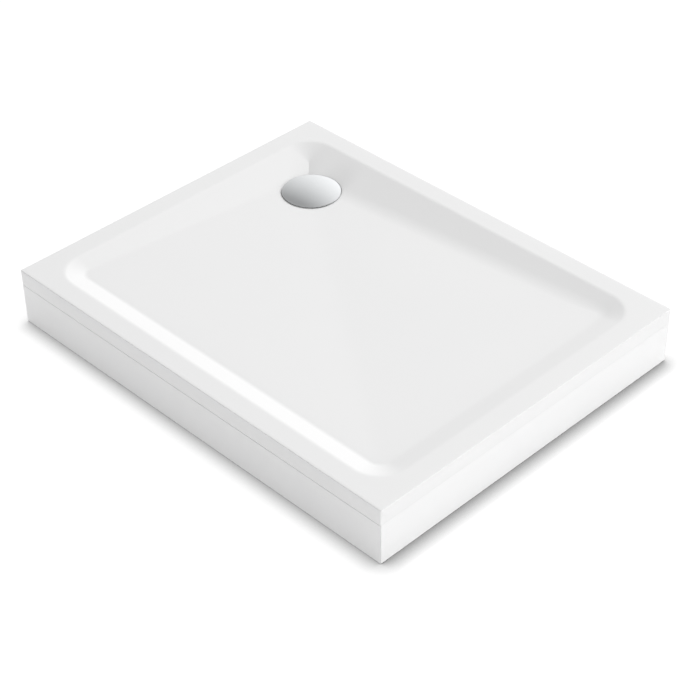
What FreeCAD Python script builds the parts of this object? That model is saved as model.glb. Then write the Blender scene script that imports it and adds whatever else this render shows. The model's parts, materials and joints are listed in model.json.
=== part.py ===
import FreeCAD, Part
import math
import os

# Shower tray, 1000 x 800, on a leg-and-panel kit. Millimetres, +Z up.
# The origin lies on the finished floor under the middle of the tray. +X runs along the long side,
# +Y points at the wall behind the tray. The -Y and +X sides have panels, and the other two stand
# against walls. The waste is in the corner of the -X and +Y sides.

# ---- fits ----
SLIDE_GAP = 0.3            # air between faces of two bodies that slide past each other
THREAD_GAP = 0.05          # radial play of a thread or a turning shaft
HOLE_PLAY = 0.4            # radial play of a screw in a plain hole
END_GAP = 0.1              # air under a lift-out piece's seat
CUT_OVERRUN = 1.0          # how far a cutter runs past the face that it opens
SAME_PLACE = 0.01          # two places closer than this count as one

# ---- tray ----
TRAY_LENGTH = 1000.0
TRAY_WIDTH = 800.0
SLAB_THICKNESS = 35.0
FLOOR_CLEARANCE = 91.0     # floor to the slab's underside, which the legs set
RIM_WIDTH = 44.0
CAP_THICKNESS = 3.0        # moulded skin over the cast core
CORNER_ROUND = 2.5         # upright edges of the slab
TOP_EDGE_ROUND = 1.5
BASIN_CORNER_RADIUS = 65.0
WALL_RUN_PER_DROP = 4.4    # how far a basin wall leans in for each millimetre down
SHALLOW_DEPTH = 9.0        # rim to floor at the foot of the front and right walls
DRAIN_DEPTH = 19.8         # rim to floor at the waste

# ---- waste ----
DRAIN_FROM_LEFT = 189.0
DRAIN_FROM_BACK = 179.0
COVER_RADIUS = 63.0
COVER_RIM_LIFT = 2.2       # rim of the cover above the basin floor
COVER_RIM_HEIGHT = 1.2
COVER_CROWN = 6.5          # rise of the dome above its rim
COVER_THICKNESS = 1.5
COVER_EDGE_ROUND = 0.9
DISH_MARGIN = 2.0          # flat land round the cover
SEAT_DEPTH = 4.8           # recess for the flange, below the land
SEAT_RADIUS = 57.5
TRAY_HOLE_RADIUS = 45.0
GASKET_THICKNESS = 1.5
GASKET_INNER_RADIUS = 46.0
FLANGE_RADIUS = 56.0
FLANGE_THICKNESS = 3.0
NECK_RADIUS = 36.0         # clear bore through the flange and the neck
SLEEVE_WALL = 2.5
SLEEVE_ENTRY = 2.0         # how far the sleeve reaches into the trap
LEDGE_WIDTH = 2.5          # shelf in the sleeve that carries the strainer
LEDGE_THICKNESS = 2.0
LEDGE_DROP = 7.7           # flange's top to the shelf
FLANGE_SCREW_CIRCLE = 42.0
FLANGE_SCREW_RADIUS = 2.0
FLANGE_SCREW_HEAD_RADIUS = 4.0
FLANGE_SCREW_HEAD_HEIGHT = 2.2
FLANGE_SCREW_LENGTH = 32.0
FLANGE_SCREW_COUNT = 4
STRAINER_PLATE = 2.0
STRAINER_SEAL = 1.6
DIP_TUBE_RADIUS = 21.0
TUBE_WALL = 2.0
STRAINER_SLOTS = 8
STRAINER_SLOT_WIDTH = 4.0
STRAINER_WEB = 1.5         # plate left at each end of a slot
HUB_RADIUS = 7.0
HUB_HEIGHT = 5.0
HUB_BORE_RADIUS = 3.5
CARRIER_PIN_LENGTH = 6.5
CARRIER_DISC_RADIUS = 30.0
CARRIER_DISC_THICKNESS = 2.0
CARRIER_RIB_DROP = 3.0
CARRIER_RIB_THICKNESS = 2.0
CARRIER_RIBS = 6
TRAP_TOP_PLATE = 3.0
BOWL_RADIUS = 50.0
BOWL_WALL = 2.5
BOWL_FLOOR_LIFT = 8.0      # bowl's underside above the finished floor
BOWL_FOOT_ROUND = 8.0
DIP_TUBE_END_GAP = 6.0     # bowl's inner floor to the dip tube's end
BOSS_RADIUS = 4.0
BOSS_FLOOR = 3.0           # boss beyond the screw's end
OUTLET_HEIGHT = 54.0       # axis of the outlet above the floor
PIPE_SOCKET_RADIUS = 21.7  # takes 43 mm waste pipe
OUTLET_WAY_RADIUS = 18.0
SPIGOT_WALL = 3.0
SPIGOT_LENGTH = 66.0       # bowl's outside to the spigot's mouth
SOCKET_DEPTH = 32.0
OUTLET_SEAL_LENGTH = 6.0
OUTLET_NUT_WALL = 4.0
OUTLET_NUT_LENGTH = 22.0
OUTLET_NUT_LIP = 3.0
OUTLET_NUT_RIBS = 12
OUTLET_NUT_RIB_HEIGHT = 1.6

# ---- legs ----
LEG_FROM_END = 75.0
LEG_FROM_SIDE = 75.0
LEG_PLATE_RADIUS = 40.0
LEG_PLATE_THICKNESS = 6.0
LEG_BOSS_RADIUS = 13.0
LEG_BOSS_LENGTH = 41.0     # tray's underside to the boss's end
LEG_RIB_THICKNESS = 4.0
LEG_RIB_COUNT = 4
LEG_RIB_DROP = 26.0
LEG_RIB_SETBACK = 4.0      # from the plate's edge
LEG_SCREW_CIRCLE = 30.0
LEG_SCREW_COUNT = 4
STUD_RADIUS = 6.0          # M12
STUD_PITCH = 1.75
THREAD_DEPTH_PER_PITCH = 0.6134
STUD_TOP_GAP = 11.0        # tray's underside to the stud's top at rest
NUT_ACROSS_FLATS = 19.0
NUT_THICKNESS = 7.0
HEX_BEVEL = 1.0            # bevel on the corners of a nut or collar
COLLAR_ACROSS_FLATS = 17.0
COLLAR_THICKNESS = 6.0
COLLAR_LIFT = 2.0          # collar above the foot's hub
FOOT_RADIUS = 30.0
FOOT_THICKNESS = 6.0
FOOT_HUB_RADIUS = 12.0
FOOT_HUB_TOP = 20.0
FOOT_RIB_COUNT = 6
FOOT_RIB_THICKNESS = 3.0
FOOT_RIB_SETBACK = 3.0
FOOT_EDGE_BEVEL = 2.0
STUD_PIN_RADIUS = 4.5
FOOT_SOCKET_FLOOR = 7.0
SOLE_THICKNESS = 3.0
SOLE_LIP = 1.0             # sole's rim beyond the foot
SOLE_GROOVES = 3
SOLE_GROOVE_SPACING = 8.0
SOLE_GROOVE_WIDTH = 2.0
SOLE_GROOVE_DEPTH = 1.0

# ---- screws into the core ----
SCREW_RADIUS = 2.5
SCREW_HEAD_RADIUS = 4.5
SCREW_HEAD_HEIGHT = 2.6
SCREW_HEAD_ROUND = 0.85
SCREW_BITE = 8.0           # length in the core
SCREW_POINT = 2.0          # cone at its end
DRIVE_ACROSS_FLATS = 3.2
DRIVE_DEPTH = 1.4

# ---- panels ----
PANEL_THICKNESS = 10.0
PANEL_INSET = 0.5          # panel's face behind the tray's edge
PANEL_TOP_GAP = 1.5        # seam under the tray, long side
SHORT_PANEL_TOP_GAP = 0.5  # seam under the tray, short side
PANEL_FLOOR_GAP = 1.0
PANEL_EDGE_ROUND = 0.6
MITRE_GAP = 0.3
CLIP_PAD_THICKNESS = 3.0
CLIP_PAD_LENGTH = 44.0
CLIP_PAD_HEIGHT = 30.0
TONGUE_LENGTH = 16.0
TONGUE_WIDTH = 30.0
TONGUE_THICKNESS = 5.0
TONGUE_RIB_HEIGHT = 0.6
TONGUE_RIB_WIDTH = 2.0
TONGUE_RIB_SETBACK = 3.0
CLIP_DROP = 36.0           # tray's underside to the tongue's middle
BRACKET_LENGTH = 50.0
BRACKET_THICKNESS = 4.0
BRACKET_DEPTH = 36.0
BRACKET_HEIGHT = 60.0
BRACKET_SCREW_SPACING = 26.0
BRACKET_SCREW_SETBACK = 11.0   # from the flange's free edge
GUSSET_REACH = 22.0
GUSSET_THICKNESS = 3.0
FRONT_BRACKET_SPACING = 300.0
SIDE_BRACKET_SPACING = 380.0
CORNER_ANGLE_LEG = 24.0
CORNER_ANGLE_THICKNESS = 3.0
CORNER_ANGLE_END_GAP = 5.0

# ---- worked out from these ----
LEFT, RIGHT = -TRAY_LENGTH / 2, TRAY_LENGTH / 2
FRONT, BACK = -TRAY_WIDTH / 2, TRAY_WIDTH / 2
UNDERSIDE = FLOOR_CLEARANCE
RIM_TOP = FLOOR_CLEARANCE + SLAB_THICKNESS
DRAIN = (LEFT + DRAIN_FROM_LEFT, BACK - DRAIN_FROM_BACK)
LAND = RIM_TOP - DRAIN_DEPTH
SEAT = LAND - SEAT_DEPTH
FLANGE_UNDERSIDE = SEAT + GASKET_THICKNESS
FLANGE_TOP = FLANGE_UNDERSIDE + FLANGE_THICKNESS
TRAP_TOP = UNDERSIDE - GASKET_THICKNESS
LEDGE_TOP = FLANGE_TOP - LEDGE_DROP
COVER_RIM = LAND + COVER_RIM_LIFT
STRAINER_UNDERSIDE = LEDGE_TOP + STRAINER_SEAL + END_GAP
STRAINER_TOP = STRAINER_UNDERSIDE + STRAINER_PLATE
STUD_BEVEL = STUD_PITCH * THREAD_DEPTH_PER_PITCH    # down to the thread's root
PANEL_TOP = UNDERSIDE - PANEL_TOP_GAP
SHORT_PANEL_TOP = UNDERSIDE - SHORT_PANEL_TOP_GAP
PANEL_FRONT = FRONT + PANEL_INSET
PANEL_RIGHT = RIGHT - PANEL_INSET
CLIP_HEIGHT = UNDERSIDE - CLIP_DROP
LEGS = {
    "front_left": (LEFT + LEG_FROM_END, FRONT + LEG_FROM_SIDE),
    "front_right": (RIGHT - LEG_FROM_END, FRONT + LEG_FROM_SIDE),
    "back_left": (LEFT + LEG_FROM_END, BACK - LEG_FROM_SIDE),
    "back_right": (RIGHT - LEG_FROM_END, BACK - LEG_FROM_SIDE),
    "centre": (0.0, 0.0),
}
BRACKETS = {
    "front_left": ("front", -FRONT_BRACKET_SPACING),
    "front_middle": ("front", 0.0),
    "front_right": ("front", FRONT_BRACKET_SPACING),
    "side_front": ("right", -SIDE_BRACKET_SPACING / 2),
    "side_back": ("right", SIDE_BRACKET_SPACING / 2),
}


# ---- shapes ----
def at(x, y, z):
    return FreeCAD.Vector(x, y, z)


def block(x, y, z):
    """Box from three (low, high) pairs."""
    return Part.makeBox(x[1] - x[0], y[1] - y[0], z[1] - z[0], at(x[0], y[0], z[0]))


def disc(radius, low, high, centre):
    return Part.makeCylinder(radius, high - low, at(centre[0], centre[1], low))


def ring(inner, outer, low, high, centre):
    return disc(outer, low, high, centre).cut(disc(inner, low - CUT_OVERRUN, high + CUT_OVERRUN, centre))


def taper(low_radius, high_radius, low, high, centre):
    return Part.makeCone(low_radius, high_radius, high - low, at(centre[0], centre[1], low))


def bar(radius, start, end, centre, height):
    """Cylinder along +Y between two values of y."""
    return Part.makeCylinder(radius, end - start, at(centre[0], start, height), at(0, 1, 0))


def plate(points, thickness):
    """Flat polygon, drawn out by a vector."""
    return Part.Face(Part.makePolygon(points + points[:1])).extrude(thickness)


def turned(shape, centre, degrees):
    copy = shape.copy()
    copy.rotate(at(centre[0], centre[1], 0), at(0, 0, 1), degrees)
    return copy


def around(shape, centre, count, first=0.0):
    """Copies of a shape, spread evenly about an upright axis."""
    return [turned(shape, centre, first + 360.0 * i / count) for i in range(count)]


def on_circle(radius, count, centre, first=0.0):
    angles = [math.radians(first + 360.0 * i / count) for i in range(count)]
    return [(centre[0] + radius * math.cos(a), centre[1] + radius * math.sin(a)) for a in angles]


def fin(outline, thickness, centre):
    """Upright web that runs out from an axis along +X; outline holds (radius, height) pairs."""
    points = [at(centre[0] + radius, centre[1] - thickness / 2, height) for radius, height in outline]
    return plate(points, at(0, thickness, 0))


def hexagon(across_flats, low, high, centre):
    """Six-sided prism with its corners bevelled at both ends."""
    corner = across_flats / math.sqrt(3)
    points = [at(x, y, low) for x, y in on_circle(corner, 6, centre)]
    envelope = taper(corner - HEX_BEVEL, corner, low, low + HEX_BEVEL / 2, centre)
    envelope = envelope.fuse(disc(corner, low + HEX_BEVEL / 2, high - HEX_BEVEL / 2, centre))
    envelope = envelope.fuse(taper(corner, corner - HEX_BEVEL, high - HEX_BEVEL / 2, high, centre))
    return plate(points, at(0, 0, high - low)).common(envelope)


def edges_between(shape, low, high):
    """Edges that lie wholly between two heights."""
    low -= SAME_PLACE
    high += SAME_PLACE
    return [e for e in shape.Edges if low < e.BoundBox.ZMin and e.BoundBox.ZMax < high]


def save(name, *shapes):
    solids = [solid for shape in shapes for solid in shape.Solids]
    shape = solids[0] if len(solids) == 1 else Part.makeCompound(solids)
    shape.exportStep(f"parts/{name}.step")


# ---- tray: a moulded cap over a cast core ----
def inset(depth):
    """Distance in from the tray's edge to the basin wall, at a depth below the rim."""
    return RIM_WIDTH + WALL_RUN_PER_DROP * depth


def between_end_walls(shallow, deep, y):
    """Space between the left and right basin walls, over a stretch of y."""
    outline = []
    for depth, side in ((shallow, LEFT), (shallow, RIGHT), (deep, RIGHT), (deep, LEFT)):
        outline.append(at(side - math.copysign(inset(depth), side), y[0], RIM_TOP - depth))
    return plate(outline, at(0, y[1] - y[0], 0))


def between_side_walls(shallow, deep, x):
    """Space between the front and back basin walls, over a stretch of x."""
    outline = []
    for depth, side in ((shallow, FRONT), (shallow, BACK), (deep, BACK), (deep, FRONT)):
        outline.append(at(x[0], side - math.copysign(inset(depth), side), RIM_TOP - depth))
    return plate(outline, at(x[1] - x[0], 0, 0))


def basin_walls():
    """Leaning walls down to the land. A quarter cone rounds each corner, and its point is where the
    corner has become sharp."""
    fade = min(BASIN_CORNER_RADIUS / WALL_RUN_PER_DROP, DRAIN_DEPTH)
    from_edge = RIM_WIDTH + BASIN_CORNER_RADIUS
    x = (LEFT + from_edge, RIGHT - from_edge)
    y = (FRONT + from_edge, BACK - from_edge)
    hollow = between_end_walls(-CUT_OVERRUN, fade, y).fuse(between_side_walls(-CUT_OVERRUN, fade, x))
    wide = BASIN_CORNER_RADIUS + WALL_RUN_PER_DROP * CUT_OVERRUN
    narrow = BASIN_CORNER_RADIUS - WALL_RUN_PER_DROP * fade
    for i, spot in enumerate([(x[1], y[1]), (x[0], y[1]), (x[0], y[0]), (x[1], y[0])]):
        foot = at(spot[0], spot[1], RIM_TOP - fade)
        quarter = Part.makeCone(narrow, wide, fade + CUT_OVERRUN, foot, at(0, 0, 1), 90)
        hollow = hollow.fuse(turned(quarter, spot, 90.0 * i))
    if DRAIN_DEPTH > fade:
        deep = between_end_walls(fade, DRAIN_DEPTH, (FRONT, BACK))
        hollow = hollow.fuse(deep.common(between_side_walls(fade, DRAIN_DEPTH, (LEFT, RIGHT))))
    return hollow.removeSplitter()


def basin(skin):
    """The hollow: its walls, less all that lies under the floor's two falls to the waste.
    With a skin, the hollow that stays in the core under a cap of that thickness."""
    hollow = basin_walls()
    foot = inset(SHALLOW_DEPTH)
    ledge = RIM_TOP - SHALLOW_DEPTH
    drop = DRAIN_DEPTH - SHALLOW_DEPTH
    back_fall = drop / (DRAIN[1] - (FRONT + foot))
    left_fall = drop / ((RIGHT - foot) - DRAIN[0])
    front_height = ledge + back_fall * foot
    back_height = front_height - back_fall * TRAY_WIDTH
    right_height = ledge + left_fall * foot
    left_height = right_height - left_fall * TRAY_LENGTH
    below = min(left_height, back_height, UNDERSIDE) - CUT_OVERRUN
    under_back_fall = [
        at(LEFT, FRONT, below),
        at(LEFT, FRONT, front_height),
        at(LEFT, BACK, back_height),
        at(LEFT, BACK, below),
    ]
    under_left_fall = [
        at(RIGHT, FRONT, below),
        at(RIGHT, FRONT, right_height),
        at(LEFT, FRONT, left_height),
        at(LEFT, FRONT, below),
    ]
    hollow = hollow.cut(plate(under_back_fall, at(TRAY_LENGTH, 0, 0)))
    hollow = hollow.cut(plate(under_left_fall, at(0, TRAY_WIDTH, 0)))
    hollow = hollow.fuse(disc(COVER_RADIUS + DISH_MARGIN + skin, LAND, RIM_TOP, DRAIN))
    hollow = hollow.fuse(disc(SEAT_RADIUS + skin, SEAT, RIM_TOP, DRAIN))
    return hollow.removeSplitter().translated(at(0, 0, -skin))


def slab_envelope():
    slab = block((LEFT, RIGHT), (FRONT, BACK), (UNDERSIDE, RIM_TOP))
    uprights = [e for e in slab.Edges if e.BoundBox.ZLength > SLAB_THICKNESS - SAME_PLACE]
    slab = slab.makeFillet(CORNER_ROUND, uprights)
    return slab.makeFillet(TOP_EDGE_ROUND, edges_between(slab, RIM_TOP, RIM_TOP))


def screw_places():
    """(x, y, height of the face under the head) of each screw into the core."""
    plate_face = UNDERSIDE - LEG_PLATE_THICKNESS
    first = 180.0 / LEG_SCREW_COUNT
    legs = [
        (x, y, plate_face)
        for leg in LEGS.values()
        for x, y in on_circle(LEG_SCREW_CIRCLE, LEG_SCREW_COUNT, leg, first)
    ]
    reach = CLIP_PAD_THICKNESS + SLIDE_GAP + BRACKET_DEPTH - BRACKET_SCREW_SETBACK
    flange_face = UNDERSIDE - BRACKET_THICKNESS
    brackets = []
    for side, along in BRACKETS.values():
        for shift in (-BRACKET_SCREW_SPACING / 2, BRACKET_SCREW_SPACING / 2):
            spot = placed(Part.Vertex(shift, reach, 0), side, along)
            brackets.append((spot.X, spot.Y, flange_face))
    return legs, brackets


def build_tray():
    inner = block(
        (LEFT + CAP_THICKNESS, RIGHT - CAP_THICKNESS),
        (FRONT + CAP_THICKNESS, BACK - CAP_THICKNESS),
        (UNDERSIDE, RIM_TOP - CAP_THICKNESS),
    )
    core = inner.cut(basin(CAP_THICKNESS))
    hole = disc(TRAY_HOLE_RADIUS, UNDERSIDE - CUT_OVERRUN, RIM_TOP, DRAIN)
    cap = slab_envelope().cut(basin(0.0)).cut(core).cut(hole)
    save("tray_cap", cap)
    legs, brackets = screw_places()
    top = UNDERSIDE + SCREW_BITE + SCREW_POINT
    for x, y, _ in legs + brackets:
        core = core.cut(disc(SCREW_RADIUS + THREAD_GAP, UNDERSIDE - CUT_OVERRUN, top, (x, y)))
    save("tray_core", core.cut(hole))
    save("leg_plate_screws", *[screw(*place) for place in legs])
    save("bracket_screws", *[screw(*place) for place in brackets])


# ---- screws into the core, heads down ----
def screw(x, y, face):
    tip = UNDERSIDE + SCREW_BITE
    head = face - SCREW_HEAD_HEIGHT
    body = disc(SCREW_HEAD_RADIUS, head, face, (x, y))
    body = body.makeFillet(SCREW_HEAD_ROUND, edges_between(body, head, head))
    body = body.fuse(disc(SCREW_RADIUS, face, tip, (x, y)))
    body = body.fuse(taper(SCREW_RADIUS, SCREW_RADIUS / 4, tip, tip + SCREW_POINT, (x, y)))
    return body.cut(hexagon(DRIVE_ACROSS_FLATS, head - CUT_OVERRUN, head + DRIVE_DEPTH, (x, y)))


# ---- legs ----
def build_leg_plate(name, centre):
    low = UNDERSIDE - LEG_PLATE_THICKNESS
    body = disc(LEG_PLATE_RADIUS, low, UNDERSIDE, centre)
    body = body.fuse(disc(LEG_BOSS_RADIUS, UNDERSIDE - LEG_BOSS_LENGTH, UNDERSIDE, centre))
    outline = [(STUD_RADIUS + THREAD_GAP, low), (LEG_PLATE_RADIUS - LEG_RIB_SETBACK, low)]
    outline += [(LEG_BOSS_RADIUS, low - LEG_RIB_DROP), (STUD_RADIUS + THREAD_GAP, low - LEG_RIB_DROP)]
    for rib in around(fin(outline, LEG_RIB_THICKNESS, centre), centre, LEG_RIB_COUNT):
        body = body.fuse(rib)
    bore_low = UNDERSIDE - LEG_BOSS_LENGTH - CUT_OVERRUN
    body = body.cut(disc(STUD_RADIUS + THREAD_GAP, bore_low, UNDERSIDE + CUT_OVERRUN, centre))
    for spot in on_circle(LEG_SCREW_CIRCLE, LEG_SCREW_COUNT, centre, 180.0 / LEG_SCREW_COUNT):
        body = body.cut(disc(SCREW_RADIUS + HOLE_PLAY, low - CUT_OVERRUN, UNDERSIDE + CUT_OVERRUN, spot))
    save(f"leg_plate_{name}", body.removeSplitter())


def lock_nut(centre):
    high = UNDERSIDE - LEG_BOSS_LENGTH
    bore = disc(STUD_RADIUS + THREAD_GAP, high - NUT_THICKNESS - CUT_OVERRUN, high + CUT_OVERRUN, centre)
    return hexagon(NUT_ACROSS_FLATS, high - NUT_THICKNESS, high, centre).cut(bore)


def build_stud(name, centre):
    """Pin in the foot, six-sided collar for a spanner, threaded shank up through nut and boss."""
    collar = FOOT_HUB_TOP + COLLAR_LIFT
    top = UNDERSIDE - STUD_TOP_GAP
    body = disc(STUD_PIN_RADIUS, FOOT_SOCKET_FLOOR + END_GAP, collar, centre)
    body = body.fuse(hexagon(COLLAR_ACROSS_FLATS, collar, collar + COLLAR_THICKNESS, centre))
    body = body.fuse(disc(STUD_RADIUS, collar + COLLAR_THICKNESS, top - STUD_BEVEL, centre))
    body = body.fuse(taper(STUD_RADIUS, STUD_RADIUS - STUD_BEVEL, top - STUD_BEVEL, top, centre))
    save(f"leg_stud_{name}", body.removeSplitter())


def build_foot(name, centre):
    base_top = SOLE_THICKNESS + FOOT_THICKNESS
    body = taper(FOOT_RADIUS, FOOT_RADIUS - FOOT_EDGE_BEVEL, SOLE_THICKNESS, base_top, centre)
    body = body.fuse(disc(FOOT_HUB_RADIUS, SOLE_THICKNESS, FOOT_HUB_TOP, centre))
    outline = [(STUD_PIN_RADIUS, base_top), (FOOT_RADIUS - FOOT_EDGE_BEVEL - FOOT_RIB_SETBACK, base_top)]
    rib_top = FOOT_HUB_TOP - FOOT_RIB_SETBACK
    outline += [(FOOT_HUB_RADIUS, rib_top), (STUD_PIN_RADIUS, rib_top)]
    for rib in around(fin(outline, FOOT_RIB_THICKNESS, centre), centre, FOOT_RIB_COUNT):
        body = body.fuse(rib)
    socket = disc(STUD_PIN_RADIUS + THREAD_GAP, FOOT_SOCKET_FLOOR, FOOT_HUB_TOP + CUT_OVERRUN, centre)
    save(f"foot_{name}", body.cut(socket).removeSplitter())
    sole = disc(FOOT_RADIUS + SOLE_LIP, 0.0, SOLE_THICKNESS, centre)
    for i in range(SOLE_GROOVES):
        inner = SOLE_GROOVE_SPACING * (i + 0.5)
        sole = sole.cut(ring(inner, inner + SOLE_GROOVE_WIDTH, -CUT_OVERRUN, SOLE_GROOVE_DEPTH, centre))
    save(f"foot_sole_{name}", sole)


def build_legs():
    for name, centre in LEGS.items():
        build_leg_plate(name, centre)
        build_stud(name, centre)
        build_foot(name, centre)
    save("lock_nuts", *[lock_nut(centre) for centre in LEGS.values()])


# ---- panels, clips and brackets ----
def placed(shape, side, along):
    """Moves a shape drawn at a panel's inner face, with +Y inwards, to its place on that side."""
    copy = shape.copy()
    if side == "right":
        copy.rotate(at(0, 0, 0), at(0, 0, 1), 90)
        copy.translate(at(PANEL_RIGHT - PANEL_THICKNESS, along, 0))
    else:
        copy.translate(at(along, PANEL_FRONT + PANEL_THICKNESS, 0))
    return copy


def bracket():
    """L under the tray, with a slot for the clip's tongue and a gusset at each end."""
    near = CLIP_PAD_THICKNESS + SLIDE_GAP
    inside = near + BRACKET_THICKNESS
    flange_low = UNDERSIDE - BRACKET_THICKNESS
    half = BRACKET_LENGTH / 2
    body = block((-half, half), (near, inside), (UNDERSIDE - BRACKET_HEIGHT, UNDERSIDE))
    body = body.fuse(block((-half, half), (near, near + BRACKET_DEPTH), (flange_low, UNDERSIDE)))
    for x in (-half, half - GUSSET_THICKNESS):
        corners = [at(x, inside, flange_low), at(x, inside + GUSSET_REACH, flange_low)]
        corners.append(at(x, inside, flange_low - GUSSET_REACH))
        body = body.fuse(plate(corners, at(GUSSET_THICKNESS, 0, 0)))
    slot_half = TONGUE_THICKNESS / 2 + TONGUE_RIB_HEIGHT + SLIDE_GAP
    width_half = TONGUE_WIDTH / 2 + SLIDE_GAP
    slot_depth = (near - CUT_OVERRUN, inside + CUT_OVERRUN)
    slot = block((-width_half, width_half), slot_depth, (CLIP_HEIGHT - slot_half, CLIP_HEIGHT + slot_half))
    body = body.cut(slot)
    reach = near + BRACKET_DEPTH - BRACKET_SCREW_SETBACK
    for x in (-BRACKET_SCREW_SPACING / 2, BRACKET_SCREW_SPACING / 2):
        hole = disc(SCREW_RADIUS + HOLE_PLAY, flange_low - CUT_OVERRUN, UNDERSIDE + CUT_OVERRUN, (x, reach))
        body = body.cut(hole)
    return body.removeSplitter()


def clip():
    """Pad bonded to the panel, with a ribbed tongue that pushes into the bracket's slot."""
    half = CLIP_PAD_LENGTH / 2
    high = (CLIP_HEIGHT - CLIP_PAD_HEIGHT / 2, CLIP_HEIGHT + CLIP_PAD_HEIGHT / 2)
    body = block((-half, half), (0.0, CLIP_PAD_THICKNESS), high)
    end = CLIP_PAD_THICKNESS + TONGUE_LENGTH
    width = (-TONGUE_WIDTH / 2, TONGUE_WIDTH / 2)
    thick = TONGUE_THICKNESS / 2
    body = body.fuse(block(width, (0.0, end), (CLIP_HEIGHT - thick, CLIP_HEIGHT + thick)))
    rib = (end - TONGUE_RIB_SETBACK - TONGUE_RIB_WIDTH, end - TONGUE_RIB_SETBACK)
    thick += TONGUE_RIB_HEIGHT
    body = body.fuse(block(width, rib, (CLIP_HEIGHT - thick, CLIP_HEIGHT + thick)))
    return body.removeSplitter()


def panel(corners, top, outer_axis, outer_value):
    """Upright board from its plan, with the edges of its outer face eased."""
    points = [at(x, y, PANEL_FLOOR_GAP) for x, y in corners]
    board = plate(points, at(0, 0, top - PANEL_FLOOR_GAP))
    outer = [
        e for e in board.Edges
        if all(abs(getattr(v, outer_axis) - outer_value) < SAME_PLACE for v in e.Vertexes)
    ]
    return board.makeFillet(PANEL_EDGE_ROUND, outer)


def build_panels():
    inner_y = PANEL_FRONT + PANEL_THICKNESS
    inner_x = PANEL_RIGHT - PANEL_THICKNESS
    left_end = LEFT + PANEL_INSET
    back_end = BACK - PANEL_INSET
    long_plan = [(left_end, PANEL_FRONT), (PANEL_RIGHT - MITRE_GAP, PANEL_FRONT)]
    long_plan += [(inner_x - MITRE_GAP, inner_y), (left_end, inner_y)]
    short_plan = [(PANEL_RIGHT, PANEL_FRONT), (PANEL_RIGHT, back_end)]
    short_plan += [(inner_x, back_end), (inner_x, inner_y)]
    save("long_panel", panel(long_plan, PANEL_TOP, "Y", PANEL_FRONT))
    save("short_panel", panel(short_plan, SHORT_PANEL_TOP, "X", PANEL_RIGHT))
    clips = {"front": [], "right": []}
    for name, (side, along) in BRACKETS.items():
        save(f"panel_bracket_{name}", placed(bracket(), side, along))
        clips[side].append(placed(clip(), side, along))
    save("long_panel_clips", *clips["front"])
    save("short_panel_clips", *clips["right"])
    corner = inner_x - MITRE_GAP
    height = (PANEL_FLOOR_GAP + CORNER_ANGLE_END_GAP, PANEL_TOP - CORNER_ANGLE_END_GAP)
    thin = CORNER_ANGLE_THICKNESS
    angle = block((corner - CORNER_ANGLE_LEG, corner), (inner_y, inner_y + thin), height)
    angle = angle.fuse(block((corner - thin, corner), (inner_y, inner_y + CORNER_ANGLE_LEG), height))
    save("corner_angle", angle.removeSplitter())


# ---- waste: flange, strainer and cover above, trap below ----
def dome_profile(radius, low, shoulder, crown):
    """Half section of a dome: upright rim up to the shoulder, then one arc to the axis."""
    x, y = DRAIN
    curve = (radius**2 + crown**2) / (2 * crown)
    middle = radius / 2
    rise = math.sqrt(curve**2 - middle**2) - (curve - crown)
    half_way = at(x + middle, y, shoulder + rise)
    arc = Part.Arc(at(x + radius, y, shoulder), half_way, at(x, y, shoulder + crown))
    edges = [Part.LineSegment(at(x, y, low), at(x + radius, y, low)).toShape()]
    edges.append(Part.LineSegment(at(x + radius, y, low), at(x + radius, y, shoulder)).toShape())
    edges.append(arc.toShape())
    edges.append(Part.LineSegment(at(x, y, shoulder + crown), at(x, y, low)).toShape())
    return Part.Face(Part.Wire(edges)).revolve(at(x, y, 0), at(0, 0, 1), 360)


def build_cover():
    shoulder = COVER_RIM + COVER_RIM_HEIGHT
    outer = dome_profile(COVER_RADIUS, COVER_RIM, shoulder, COVER_CROWN)
    outer = outer.makeFillet(COVER_EDGE_ROUND, edges_between(outer, shoulder, shoulder))
    hollow_radius = COVER_RADIUS - COVER_THICKNESS
    hollow_low = COVER_RIM - CUT_OVERRUN
    hollow = dome_profile(hollow_radius, hollow_low, shoulder - COVER_THICKNESS, COVER_CROWN)
    save("cover_dome", outer.cut(hollow))
    curve = (hollow_radius**2 + COVER_CROWN**2) / (2 * COVER_CROWN)
    sag = curve - math.sqrt(curve**2 - CARRIER_DISC_RADIUS**2)
    high = shoulder - COVER_THICKNESS + COVER_CROWN - sag
    low = high - CARRIER_DISC_THICKNESS
    shoulder_low = STRAINER_TOP + HUB_HEIGHT + END_GAP
    body = disc(CARRIER_DISC_RADIUS, low, high, DRAIN)
    body = body.fuse(disc(HUB_RADIUS, shoulder_low, high, DRAIN))
    outline = [(0.0, low), (CARRIER_DISC_RADIUS, low), (HUB_RADIUS, low - CARRIER_RIB_DROP)]
    outline.append((0.0, low - CARRIER_RIB_DROP))
    for rib in around(fin(outline, CARRIER_RIB_THICKNESS, DRAIN), DRAIN, CARRIER_RIBS):
        body = body.fuse(rib)
    pin_low = shoulder_low - CARRIER_PIN_LENGTH
    body = body.fuse(disc(HUB_BORE_RADIUS - THREAD_GAP, pin_low, high, DRAIN))
    save("cover_carrier", body.removeSplitter())


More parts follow.
